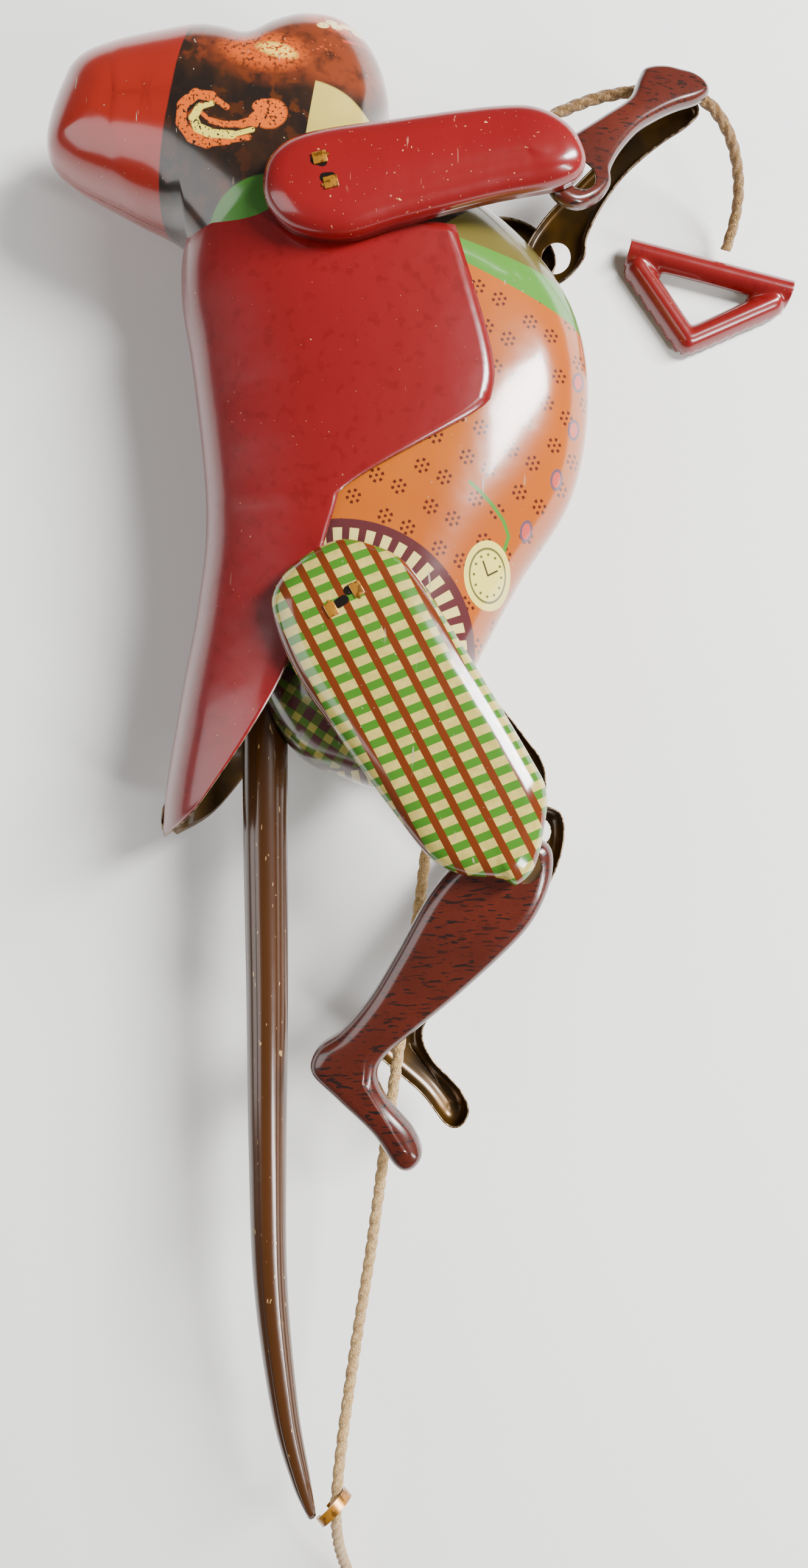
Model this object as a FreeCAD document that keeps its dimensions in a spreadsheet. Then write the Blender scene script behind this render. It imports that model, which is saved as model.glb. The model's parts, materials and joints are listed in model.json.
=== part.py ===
import FreeCAD, Part

import math
import os

from FreeCAD import Placement, Rotation, Vector

# A tin toy monkey that climbs a string, lying on its left side.
#
# The drawing has its origin where the hip axis crosses the middle plane of the toy: x points to the
# toy's front, y to its head and z to its right side, which looks up. SIDE gives the two halves.
# The drawing is then moved so that the toy lies on z = 0.

SIDE = {"right": 1, "left": -1}

SIZES = {
    "mid_height": 30.0,
    "hip_x": -20.7,
    "hip_y": 110.5,
    "tin": 0.5,
    # body and coat
    "body_depth": 21.0,
    "coat_gap": 0.6,
    "pivot_hole_radius": 3.5,
    # the two cross tubes that carry the limbs
    "tube_radius": 3.2,
    "tube_wall": 0.5,
    "tongue_width": 3.0,
    "shoulder_tongue_turn": 104.0,
    "hip_tongue_turn": 30.0,
    "shoulder_x": -3.8,
    "shoulder_y": 87.4,
    "web_level": 30.0,
    "limb_flange": 7.0,
    "limb_round": 3.0,
    # arms
    "elbow_x": 49.5,
    "elbow_y": 91.2,
    "forearm_level": 20.6,
    "forearm_flange": 3.0,
    "forearm_turn": 43.0,
    "forearm_tilt": 19.6,
    "clinch_hole_radius": 3.6,
    "lug_radius": 1.2,
    # legs
    "knee_x": 37.5,
    "knee_y": -55.0,
    "shin_level": 22.0,
    "shin_flange": 5.0,
    "shin_tilt": 8.0,
    "left_thigh_twist": 8.0,
    "left_shin_twist": -4.5,
    # tail and its string loop
    "tail_root_radius": 5.5,
    "loop_radius": 4.3,
    "loop_strip": 0.8,
    # return spring
    "lever_level": 8.0,
    "lever_reach": 11.0,
    "lever_width": 6.0,
    "lever_plate": 1.2,
    "spring_radius": 2.2,
    "spring_length": 34.0,
    # string and pull handles
    "string_radius": 1.4,
    "hank_length": 46.0,
    "hank_width": 20.6,
    "hank_height": 11.6,
    "handle_depth": 7.0,
}

doc = FreeCAD.newDocument("climbing_monkey")
sheet = doc.addObject("Spreadsheet::Sheet", "Sizes")
for row, (alias, value) in enumerate(SIZES.items(), start=1):
    sheet.set(f"A{row}", alias)
    sheet.set(f"B{row}", str(value))
    sheet.setAlias(f"B{row}", alias)
doc.recompute()

nodes = {}


def size(alias):
    return float(sheet.get(alias))


def keep(obj, name, base=None):
    """Label a finished sub-part as a node and lay it in the toy's frame."""
    toy = Placement(Vector(size("hip_x"), size("hip_y"), size("mid_height")), Rotation())
    obj.Label = name
    obj.Placement = toy.multiply(base if base else Placement())
    nodes[name] = obj
    return obj


def solid(shape, name, base=None):
    """A sub-part whose shape is made with Part's own functions."""
    obj = doc.addObject("Part::Feature", name)
    obj.Shape = shape
    return keep(obj, name, base)


def turned(turn_deg):
    """Turn about the drawing's z axis."""
    return Placement(Vector(), Rotation(Vector(0, 0, 1), turn_deg))


# ---------------------------------------------------------------- domed half shells

# Profiles in the drawing plane. Each dome shrinks towards its own centre as it rises.
HEAD_CENTRE = (-28, 108)
HEAD_OUTLINE = [
    (-68.8, 106), (-64, 99.5), (-50, 92), (-38, 85), (-24, 80), (-8, 80), (4, 92), (8.5, 106), (8.8, 117),
    (6, 126), (0, 132.6), (-8, 134.2), (-15.5, 132.4), (-22, 129.6), (-28, 131), (-36, 131), (-58.5, 126.8),
    (-65.5, 118),
]
TORSO_CENTRE = (10, 40)
TORSO_OUTLINE = [
    (-34, 84), (-32.5, 72), (-30.5, 50), (-28.5, 25), (-25, 0), (-20, -18), (-12, -31), (-2, -36), (8, -39),
    (19, -32), (27, -14), (38, 7), (50.6, 27.5), (54.2, 50), (51, 68), (42, 82), (29, 93), (14, 101),
    (-4, 104), (-22, 98),
]
COAT_CENTRE = (6, 34)
COAT_DOME = [
    (-35.8, 88), (-38.6, 74), (-35.8, 56), (-32.8, 24), (-35, 2), (-38.3, -18.5), (-42.5, -49), (-36, -60),
    (-10, -52), (24, -40), (44, -12), (60, 22), (64, 50), (60, 82), (36, 106), (0, 114), (-24, 106),
]
COAT_EDGE = [
    (-46, 86.8), (-16.8, 86.8), (23.4, 80.3), (30.5, 56.3), (31.2, 45), (26, 39.5), (1.5, 26.2),
    (-3, 18.6), (-12.8, -13.3), (-31, -41), (-47, -51.5), (-48, 20),
]
DOME_LEVELS = (0.0, 0.4, 0.7, 0.9, 1.0)
DOME_TOP = 0.4
DOME_ROUND = 2.3
DOME_REACH = 55.0


def polygon(points, level=0.0):
    corners = [Vector(x, y, level) for x, y in points]
    return Part.Face(Part.makePolygon(corners + corners[:1]))


def dome(outline, centre, depth, inset, side):
    """A faceted dome: rings of the outline that shrink towards the centre along a rounded profile."""
    rings = []
    for level in DOME_LEVELS:
        scale = DOME_TOP + (1 - DOME_TOP) * (1 - level**DOME_ROUND) ** (1 / DOME_ROUND)
        scale -= inset / DOME_REACH
        rings.append([Vector(centre[0] + (x - centre[0]) * scale, centre[1] + (y - centre[1]) * scale,
                             side * depth * level) for x, y in outline])
    faces = [Part.Face(Part.makePolygon(ring + ring[:1])) for ring in (rings[0], rings[-1])]
    for low, high in zip(rings, rings[1:]):
        for i in range(len(outline)):
            j = (i + 1) % len(outline)
            faces.append(Part.Face(Part.makePolygon([low[i], low[j], high[j], high[i], low[i]])))
    shape = Part.Solid(Part.Shell(faces))
    if shape.Volume < 0:
        shape.reverse()
    return shape


def pivot_hole(x, y, side):
    radius = size("pivot_hole_radius")
    return Part.makeCylinder(radius, 60, Vector(x, y, 0), Vector(0, 0, side))


def slot(x, y, width, height, side, depth=2.2):
    return Part.makeBox(width, height, depth, Vector(x, y, 0 if side > 0 else -depth))


def body_shell(side_name):
    """Hat, head, torso and trousers seat, stamped in one half, with its holes and string slots."""
    side = SIDE[side_name]
    depth = size("body_depth")
    wall = size("tin")
    outer = dome(TORSO_OUTLINE, TORSO_CENTRE, depth, 0.0, side)
    outer = outer.fuse(dome(HEAD_OUTLINE, HEAD_CENTRE, depth - 1, 0.0, side))
    inner = dome(TORSO_OUTLINE, TORSO_CENTRE, depth - wall, wall, side)
    inner = inner.fuse(dome(HEAD_OUTLINE, HEAD_CENTRE, depth - 1 - wall, wall, side))
    shell = outer.cut(inner)
    shell = shell.cut(pivot_hole(size("shoulder_x"), size("shoulder_y"), side)).cut(pivot_hole(0, 0, side))
    shell = shell.cut(slot(1, 88, 30, 18, side)).cut(slot(10, -44, 16, 26, side))
    tail_seat = Part.makeCylinder(size("tail_root_radius") + 0.7, 40, Vector(-19.6, 0, 0), Vector(0, -1, 0))
    solid(shell.cut(tail_seat), f"body_shell_{side_name}")


def coat_half(side_name):
    """One half of the tail coat: it covers the back and its front edge stands off the body's side."""
    side = SIDE[side_name]
    depth = size("body_depth") + size("coat_gap")
    sheet_metal = dome(COAT_DOME, COAT_CENTRE, depth + size("tin"), 0.0, side)
    sheet_metal = sheet_metal.cut(dome(COAT_DOME, COAT_CENTRE, depth, size("tin"), side))
    coat = sheet_metal.common(polygon(COAT_EDGE).extrude(Vector(0, 0, side * 40)))
    coat = coat.cut(pivot_hole(size("shoulder_x"), size("shoulder_y"), side))
    coat = coat.cut(dome(TORSO_OUTLINE, TORSO_CENTRE, size("body_depth") + 0.1, -0.1, side))
    coat = coat.cut(dome(HEAD_OUTLINE, HEAD_CENTRE, size("body_depth") - 0.9, -0.1, side))
    pieces = sorted(coat.Solids, key=lambda piece: piece.Volume)
    solid(pieces[-1], f"coat_{side_name}")


# ---------------------------------------------------------------- stamped limbs

SLEEVE_OUTLINE = [
    (-17, 87.5), (-14.5, 93.3), (-7, 97.2), (10, 99.8), (31, 102.5), (40.5, 102), (47.3, 97.5), (49.8, 91),
    (45.5, 86.7), (31, 83.8), (12, 79), (0, 75.6), (-10, 77), (-15.6, 81.6),
]
THIGH_OUTLINE = [
    (-14.8, -3), (-14.3, 3.5), (-9, 9.2), (-1.4, 13), (5.5, 12), (12, 8.8), (18, 1), (28.7, -15.8),
    (38.4, -32), (41.7, -39), (41.2, -47), (39.2, -54), (35.5, -58.6), (30.5, -58), (24, -56.3), (17.5, -52.8),
    (10, -43.5), (0, -29.8), (-9.8, -15.5),
]
# The forearm and shin are drawn about the hole that the upper stamping is clinched into.
FOREARM_OUTLINE = [
    (-7.2, 0), (-5, -4.5), (0, -6), (5, -5.3), (8.2, -2.6), (14.2, -0.4), (22, 0.9), (28.4, 0.6),
    (34.3, -0.4), (39.8, -1.9), (43.8, -1.9), (44.9, 0.8), (43.4, 4.6), (39, 9), (35, 11), (32.4, 10.3),
    (25.8, 7.7), (15.9, 7.9), (4, 8.2), (-4.5, 6),
]
SHIN_OUTLINE = [
    (4.5, 4.6), (6, -0.8), (3.8, -8.6), (-1, -16), (-12.5, -27.4), (-23.5, -37), (-30, -42.8), (-31.8, -47.5),
    (-29.5, -53), (-24, -59.5), (-22, -65), (-24.5, -68.5), (-28, -67.5), (-33, -60.3), (-41, -52.5),
    (-46.3, -46.8), (-45, -41.5), (-39.5, -37.3), (-33.3, -29.8), (-27.5, -20), (-20, -6.5), (-13, 1.2), (-4, 6),
]


def plane_of(body, role):
    return [feature for feature in body.Origin.OriginFeatures if feature.Role == role][0]


def sketch_on(body, name, level, side):
    """A sketch at the outer face of a stamping, so that its pad runs in towards the middle plane."""
    sketch = body.newObject("Sketcher::SketchObject", name)
    sketch.AttachmentSupport = [(plane_of(body, "XY_Plane"), "")]
    sketch.MapMode = "FlatFace"
    sketch.AttachmentOffset = Placement(Vector(0, 0, side * level), Rotation())
    return sketch


def stamping(name, outline, level, flange, side, rounded=True, hole=None, slots=(), lug=None):
    """A channel stamped from sheet: a web at the level, a flange all round, open to the inside."""
    body = doc.addObject("PartDesign::Body", name)
    profile = sketch_on(body, f"{name}_profile", level, side)
    curve = Part.BSplineCurve()
    curve.interpolate(Points=[Vector(x, y, 0) for x, y in outline], PeriodicFlag=True)
    profile.addGeometry(curve)
    pad = body.newObject("PartDesign::Pad", f"{name}_pad")
    pad.Profile = profile
    pad.setExpression("Length", f"{sheet.Name}.{flange}")
    pad.Reversed = side > 0
    doc.recompute()
    shaped = pad
    if rounded:
        outer = [i for i, edge in enumerate(pad.Shape.Edges, 1)
                 if abs(edge.BoundBox.ZMin - side * level) < 1e-4 and edge.BoundBox.ZLength < 1e-4]
        shaped = body.newObject("PartDesign::Fillet", f"{name}_round")
        shaped.Base = (pad, [f"Edge{i}" for i in outer])
        shaped.setExpression("Radius", f"{sheet.Name}.limb_round")
        doc.recompute()
    inner_z = side * (level - size(flange))
    inner = [i for i, face in enumerate(shaped.Shape.Faces, 1) if abs(face.CenterOfMass.z - inner_z) < 1e-3]
    hollow = body.newObject("PartDesign::Thickness", f"{name}_hollow")
    hollow.Base = (shaped, [f"Face{i}" for i in inner])
    hollow.setExpression("Value", f"{sheet.Name}.tin")
    hollow.Reversed = True
    doc.recompute()
    if hole or slots:
        punch = sketch_on(body, f"{name}_punch", level, side)
        if hole:
            punch.addGeometry(Part.Circle(Vector(hole[0], hole[1], 0), Vector(0, 0, 1), hole[2]))
        for corners in slots:
            for start, end in zip(corners, corners[1:] + corners[:1]):
                punch.addGeometry(Part.LineSegment(start, end))
        pierced = body.newObject("PartDesign::Pocket", f"{name}_pierced")
        pierced.Profile = punch
        pierced.Length = 2 * size("tin")
        pierced.Reversed = side < 0
        doc.recompute()
    if lug:
        outline_of_lug = sketch_on(body, f"{name}_lug_profile", level - size(flange) + 1.0, side)
        outline_of_lug.addGeometry(Part.Circle(Vector(lug[0], lug[1], 0), Vector(0, 0, 1), size("lug_radius")))
        tongue = body.newObject("PartDesign::Pad", f"{name}_lug")
        tongue.Profile = outline_of_lug
        tongue.Length = 4.5
        tongue.Reversed = side > 0
        doc.recompute()
    return body


def tongue_corners(x, y, turn_deg, clearance):
    """The two rectangles that a cross tube's end tongues pass through, at one end."""
    half_width = size("tongue_width") / 2 + clearance
    half_thick = size("tube_wall") / 2 + clearance
    reach = size("tube_radius") - size("tube_wall") / 2
    turn = Rotation(Vector(0, 0, 1), turn_deg)
    rectangles = []
    for way in (1, -1):
        corners = [(way * reach - half_thick, -half_width), (way * reach + half_thick, -half_width),
                   (way * reach + half_thick, half_width), (way * reach - half_thick, half_width)]
        rectangles.append([turn.multVec(Vector(u, v, 0)) + Vector(x, y, 0) for u, v in corners])
    return rectangles


def sleeve(side_name):
    shoulder = (size("shoulder_x"), size("shoulder_y"))
    slots = tongue_corners(*shoulder, size("shoulder_tongue_turn"), 0.1)
    body = stamping(f"sleeve_{side_name}", SLEEVE_OUTLINE, size("web_level"), "limb_flange", SIDE[side_name],
                    slots=slots, lug=(size("elbow_x") - 0.7, size("elbow_y")))
    keep(body, f"sleeve_{side_name}")


def forearm(side_name):
    side = SIDE[side_name]
    body = stamping(f"forearm_{side_name}", FOREARM_OUTLINE, 0.0, "forearm_flange", side, rounded=False,
                    hole=(0, 0, size("clinch_hole_radius")))
    at_elbow = Placement(Vector(size("elbow_x"), size("elbow_y"), side * size("forearm_level")), Rotation())
    lean = turned(size("forearm_turn")).multiply(
        Placement(Vector(), Rotation(Vector(0, 1, 0), side * size("forearm_tilt"))))
    keep(body, f"forearm_{side_name}", at_elbow.multiply(lean))


def thigh(side_name):
    side = SIDE[side_name]
    slots = tongue_corners(0, 0, size("hip_tongue_turn"), 0.1)
    body = stamping(f"thigh_{side_name}", THIGH_OUTLINE, size("web_level"), "limb_flange", side,
                    slots=slots, lug=(size("knee_x") - 0.3, size("knee_y") - 1.6))
    twist = size("left_thigh_twist") if side < 0 else 0.0
    keep(body, f"thigh_{side_name}", turned(twist))


def shin(side_name):
    side = SIDE[side_name]
    body = stamping(f"shin_{side_name}", SHIN_OUTLINE, 0.0, "shin_flange", side, rounded=False,
                    hole=(0, 0, size("clinch_hole_radius")))
    twist = size("left_thigh_twist") if side < 0 else 0.0
    turn = size("left_shin_twist") if side < 0 else 0.0
    lean = Rotation(Vector(0.79, -0.61, 0), side * size("shin_tilt"))
    at_knee = Placement(Vector(size("knee_x"), size("knee_y"), side * size("shin_level")), Rotation())
    base = turned(twist).multiply(at_knee).multiply(turned(turn))
    keep(body, f"shin_{side_name}", base.multiply(Placement(Vector(), lean)))


# ---------------------------------------------------------------- cross tubes and return spring

def cylinder(name, radius, height):
    obj = doc.addObject("Part::Cylinder", name)
    obj.setExpression("Radius", radius)
    obj.setExpression("Height", height)
    return obj


def joined(kind, name, base, tool):
    obj = doc.addObject(kind, name)
    obj.Base = base
    obj.Tool = tool
    return obj


def cross_tube(name, x, y, turn_deg, left_twist):
    """A tube across the body; two tongues at each end pass through the limb's slots."""
    page = sheet.Name
    outer = cylinder(f"{name}_outer", f"{page}.tube_radius", f"2 * ({page}.web_level - {page}.tin) - 0.2")
    bore = cylinder(f"{name}_bore", f"{page}.tube_radius - {page}.tube_wall", f"2 * {page}.web_level")
    tube = joined("Part::Cut", f"{name}_tube", outer, bore)
    for side_name, side in SIDE.items():
        twist = left_twist if side < 0 else 0.0
        for number, corners in enumerate(tongue_corners(0, 0, turn_deg + twist, 0.0)):
            face = Part.Face(Part.makePolygon(corners + corners[:1]))
            tongue = doc.addObject("Part::Feature", f"{name}_tongue_{side_name}_{number}")
            tongue.Shape = face.extrude(Vector(0, 0, side * 3.0))
            middle = size("web_level") - size("tin") - 0.1
            tongue.Placement = Placement(Vector(0, 0, middle + side * (size("web_level") - 3.0)), Rotation())
            tube = joined("Part::Fuse", f"{name}_with_{side_name}_{number}", tube, tongue)
    low = -(size("web_level") - size("tin") - 0.1)
    keep(tube, name, Placement(Vector(x, y, low), Rotation()))


def lever_and_spring():
    """The lever keyed to the hip tube, its return spring and the pin that holds the spring's far end."""
    reach = size("lever_reach")
    width = size("lever_width")
    thick = size("lever_plate")
    level = size("lever_level")
    ring = size("tube_radius")
    plate = Part.makeBox(reach, width, thick, Vector(0, -width / 2, level))
    boss = Part.makeCylinder(ring + 2.0, thick, Vector(0, 0, level))
    lever = plate.fuse(boss).cut(Part.makeCylinder(ring, 3 * thick, Vector(0, 0, level - thick)))
    solid(lever, "hip_lever")
    start = width / 2 + 0.5
    spring = doc.addObject("Part::Cylinder", "return_spring")
    spring.setExpression("Radius", f"{sheet.Name}.spring_radius")
    spring.setExpression("Height", f"{sheet.Name}.spring_length")
    along_y = Rotation(Vector(1, 0, 0), -90)
    keep(spring, "return_spring", Placement(Vector(reach - 2.5, start, level + thick / 2), along_y))
    pin = cylinder("spring_anchor_pin", "1.2", f"2 * {sheet.Name}.body_depth - 8")
    pin_y = start + size("spring_length") + 1.4
    keep(pin, "spring_anchor_pin", Placement(Vector(reach - 2.5, pin_y, 4 - size("body_depth")), Rotation()))


# ---------------------------------------------------------------- tail

# Centre line from the trousers seat to the tip, with the tube's radius as a share of its root radius.
TAIL = [
    (-19.5, -10, 1.0), (-19.4, -45, 0.98), (-19.0, -85, 0.92), (-18.9, -122, 0.84), (-18.2, -152, 0.76),
    (-15.0, -180, 0.62), (-11.4, -196, 0.46), (-8.6, -205, 0.3),
]


def tail():
    """A tube rolled from sheet, straight from the seat and bent forward near its closed tip."""
    outer = []
    inner = []
    for i, (x, y, share) in enumerate(TAIL):
        before = TAIL[max(i - 1, 0)]
        after = TAIL[min(i + 1, len(TAIL) - 1)]
        along = Vector(after[0] - before[0], after[1] - before[1], 0)
        radius = share * size("tail_root_radius")
        outer.append(Part.Wire([Part.Circle(Vector(x, y, 0), along, radius).toShape()]))
        if i < len(TAIL) - 1:
            inner.append(Part.Wire([Part.Circle(Vector(x, y, 0), along, radius - size("tin")).toShape()]))
    solid(Part.makeLoft(outer, True, True).cut(Part.makeLoft(inner, True, True)), "tail")
    loop = doc.addObject("Part::Torus", "tail_loop")
    loop.setExpression("Radius1", f"{sheet.Name}.loop_radius")
    loop.setExpression("Radius2", f"{sheet.Name}.loop_strip")
    facing = Rotation(Vector(0, 0, 1), Vector(1, -1, 0.3))
    keep(loop, "tail_loop", Placement(Vector(-3.9, -203.2, -1.2), facing))


# ---------------------------------------------------------------- string, hank and pull handles

STRING_UPPER = [
    (44.65, 114.26, 0), (53, 118.2, 0), (63, 120.4, 0), (73, 120.9, 0), (81.5, 119.5, -1), (88.5, 115, -7),
    (92.8, 108.5, -14.5), (94, 101.5, -21.5), (92.2, 95.2, -25),
]
STRING_MIDDLE = [
    (44.48, 114.16, 0), (33, 107.8, 0), (20.5, 101.9, 0), (8, 97, 0), (-4.4, 94.8, 0), (-11.4, 87.4, 0),
    (-10, 74, 0), (-5, 54, 0), (2, 32, 0), (10, 8, 0), (16.5, -14, 0), (19, -36, 0), (17, -56, 0),
    (12.5, -88, 0), (8, -119, 0), (6.6, -130, -1.6),
]
STRING_LOWER = [
    (6.59, -130.1, -1.62), (4.8, -144, -3.6), (1.4, -165, -5), (-1.6, -185, -4), (-3.6, -202, -0.6),
    (-3.4, -215, -7), (-2, -227, -17), (0, -238, -25), (2.2, -249, -28.1), (3, -260, -28.5),
]
STRING_END = [(3, -306.6, -19.9), (2.6, -312, -21.5), (3.2, -320, -24.2), (3, -329, -25)]


def string_path(route):
    """Straight runs joined by tangent arcs as large as the runs on both sides allow."""
    points = [Vector(*point) for point in route]
    edges = []
    radii = []
    start = points[0]
    for before, corner, after in zip(points, points[1:], points[2:]):
        into = (corner - before).normalize()
        out = (after - corner).normalize()
        turn = into.getAngle(out)
        reach = 0.45 * min((corner - before).Length, (after - corner).Length)
        radii.append(reach / math.tan(turn / 2))
        first = corner - into * reach
        last = corner + out * reach
        bisector = (out - into).normalize()
        sagitta = radii[-1] * (1 / math.cos(turn / 2) - 1)
        edges.append(Part.LineSegment(start, first).toShape())
        edges.append(Part.Arc(first, corner + bisector * sagitta, last).toShape())
        start = last
    edges.append(Part.LineSegment(start, points[-1]).toShape())
    return Part.Wire(edges), radii


def string_tube(name, route):
    path, radii = string_path(route)
    radius = size("string_radius")
    start = path.Edges[0].tangentAt(path.Edges[0].FirstParameter)
    circle = Part.Circle(Vector(*route[0]), start, radius)
    tube = path.makePipeShell([Part.Wire([circle.toShape()])], True, False)
    expected = math.pi * radius**2 * path.Length
    print(f"{name}: {path.Length:.1f} mm, radii {[round(r, 1) for r in radii]},"
          f" volume {tube.Volume:.0f} of {expected:.0f}")
    solid(tube, name)


def hank():
    """The unseen length of string, wound in an oval on the table, and the turn of string that ties it."""
    length = size("hank_length")
    width = size("hank_width")
    height = size("hank_height")
    left = 3 + size("string_radius") + 0.1 - width
    block = Part.makeBox(width, length, height, Vector(left, -260.1 - length, -size("mid_height")))
    corners = [edge for edge in block.Edges if edge.BoundBox.ZLength > 1]
    block = block.makeFillet(0.4 * width, corners)
    solid(block, "string_hank")
    band = Part.makeBox(width + 2, 3, height + 1, Vector(left - 1, -261.6 - length / 2, -size("mid_height")))
    band = band.cut(Part.makeBox(width, 3, height, Vector(left, -261.6 - length / 2, -size("mid_height"))))
    solid(band, "hank_tie")


HANDLE_OUTLINE = [(-21.5, 0), (-21.5, -7), (-19.5, -9.5), (-5.5, -23.5), (-2, -25.5), (2, -25), (19.5, -9.5),
                  (21.5, -7), (21.5, 0)]
HANDLE_OPENING = [(-10, -8.2), (9.6, -8.2), (-0.6, -18.6)]


def handle(name, x, y, turn_deg):
    """A pull handle stamped from sheet: a bar for the string and a V for the finger, open underneath."""
    body = doc.addObject("PartDesign::Body", name)
    profile = sketch_on(body, f"{name}_profile", 0, 1)
    for corners in (HANDLE_OUTLINE, HANDLE_OPENING):
        vectors = [Vector(u, v, 0) for u, v in corners]
        for start, end in zip(vectors, vectors[1:] + vectors[:1]):
            profile.addGeometry(Part.LineSegment(start, end))
    pad = body.newObject("PartDesign::Pad", f"{name}_pad")
    pad.Profile = profile
    pad.setExpression("Length", f"{sheet.Name}.handle_depth")
    doc.recompute()
    under = [i for i, face in enumerate(pad.Shape.Faces, 1) if abs(face.CenterOfMass.z) < 1e-3]
    hollow = body.newObject("PartDesign::Thickness", f"{name}_hollow")
    hollow.Base = (pad, [f"Face{i}" for i in under])
    hollow.setExpression("Value", f"{sheet.Name}.tin")
    hollow.Reversed = True
    doc.recompute()
    keep(body, name, Placement(Vector(x, y, -size("mid_height")), Rotation(Vector(0, 0, 1), turn_deg)))


# ---------------------------------------------------------------- assembly and files

def build():
    for side_name in SIDE:
        body_shell(side_name)
        coat_half(side_name)
        sleeve(side_name)
        forearm(side_name)
        thigh(side_name)
        shin(side_name)
    cross_tube("shoulder_tube", size("shoulder_x"), size("shoulder_y"), size("shoulder_tongue_turn"), 0.0)
    cross_tube("hip_tube", 0.0, 0.0, size("hip_tongue_turn"), size("left_thigh_twist"))
    lever_and_spring()
    tail()
    string_tube("string_upper", STRING_UPPER)
    string_tube("string_middle", STRING_MIDDLE)
    string_tube("string_lower", STRING_LOWER)
    string_tube("string_end", STRING_END)
    hank()
    handle("handle_upper", 89.4, 94.2, -14.6)
    handle("handle_lower", 3.0, -329.6, 0.0)


def write_files():
    doc.recompute()
    failed = [obj.Name for obj in doc.Objects if "Invalid" in obj.State or "Error" in obj.State]
    bad = [name for name, obj in nodes.items() if obj.Shape.isNull() or not obj.Shape.isValid()]
    if failed or bad:
        raise RuntimeError(f"failed objects {failed}, bad shapes {bad}")
    os.makedirs("parts", exist_ok=True)
    for name, obj in nodes.items():
        obj.Shape.exportStep(f"parts/{name}.step")


build()
write_files()
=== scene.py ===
import json
import math
from contextlib import contextmanager

import bmesh
import bpy
from mathutils import Matrix, Vector, noise


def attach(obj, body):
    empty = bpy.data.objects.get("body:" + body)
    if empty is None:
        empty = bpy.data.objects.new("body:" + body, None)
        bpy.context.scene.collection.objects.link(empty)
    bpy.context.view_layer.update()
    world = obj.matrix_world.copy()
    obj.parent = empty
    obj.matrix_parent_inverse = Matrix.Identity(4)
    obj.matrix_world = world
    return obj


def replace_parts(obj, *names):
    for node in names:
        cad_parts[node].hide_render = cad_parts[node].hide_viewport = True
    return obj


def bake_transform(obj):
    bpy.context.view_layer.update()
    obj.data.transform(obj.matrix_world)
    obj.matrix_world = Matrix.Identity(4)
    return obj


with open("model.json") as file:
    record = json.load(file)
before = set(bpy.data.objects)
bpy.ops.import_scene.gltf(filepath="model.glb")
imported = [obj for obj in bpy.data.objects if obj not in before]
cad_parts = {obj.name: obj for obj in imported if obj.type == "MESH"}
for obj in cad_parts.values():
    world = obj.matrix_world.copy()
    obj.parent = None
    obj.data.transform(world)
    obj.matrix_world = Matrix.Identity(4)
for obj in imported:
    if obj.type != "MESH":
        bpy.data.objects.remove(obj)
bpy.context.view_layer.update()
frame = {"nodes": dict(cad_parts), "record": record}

bl_info = {
    "name": "Climbing Tin Monkey",
    "version": (1, 0, 0),
    "blender": (4, 5, 0),
    "location": "View3D > Sidebar > Tin Monkey",
    "description": "Builds a lithographed tin monkey that climbs a pull string",
    "category": "Add Mesh",
}

# The toy is drawn in millimetres about its hip axis, x to the front, y to the head, z to its right side.
JOINTS = {joint["name"]: joint for joint in frame["record"]["behaviour"]["joints"]}
HIP = Vector(JOINTS["legs_swing"]["pos_m"])
SHOULDER = Vector(JOINTS["arms_swing"]["pos_m"])
MM = 0.001
SIDES = {"right": 1, "left": -1}


def place(x, y, z=0.0):
    """A point of the drawing, in the row frame."""
    return HIP + Vector((x, y, z)) * MM


def linear(hex_colour):
    """A six-digit sRGB colour as linear RGBA."""
    parts = [int(hex_colour[i:i + 2], 16) / 255 for i in (0, 2, 4)]
    return (*[p / 12.92 if p <= 0.04045 else ((p + 0.055) / 1.055) ** 2.4 for p in parts], 1.0)


# ------------------------------------------------------------------ settings

class TinSettings(bpy.types.PropertyGroup):
    """Sizes of the stampings and the string."""
    wall: bpy.props.FloatProperty(
        name="Tin thickness", description="Thickness of the tinplate", default=0.0004, unit="LENGTH")
    body_depth: bpy.props.FloatProperty(
        name="Body half depth", description="From the seam to the body's side", default=0.0209,
        unit="LENGTH")
    string_width: bpy.props.FloatProperty(
        name="String width", description="Diameter of the twine", default=0.0028, unit="LENGTH")


class ColourSettings(bpy.types.PropertyGroup):
    """Printing inks and lacquers, as sRGB hex."""
    hat: bpy.props.StringProperty(name="Hat red", description="Ink of the hat", default="8C2014")
    coat: bpy.props.StringProperty(name="Coat red", description="Lacquer of the coat", default="701012")
    vest: bpy.props.StringProperty(name="Vest orange", description="Ink of the vest", default="A85612")
    cream: bpy.props.StringProperty(
        name="Trouser cream", description="Ground of the checks", default="B8A656")
    fur: bpy.props.StringProperty(name="Limb brown", description="Ground of the fur", default="42160C")
    tail: bpy.props.StringProperty(name="Tail brown", description="Lacquer of the tail", default="48270E")
    twine: bpy.props.StringProperty(name="Twine", description="Colour of the jute", default="B8925A")


# ------------------------------------------------------------------ materials

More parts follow.
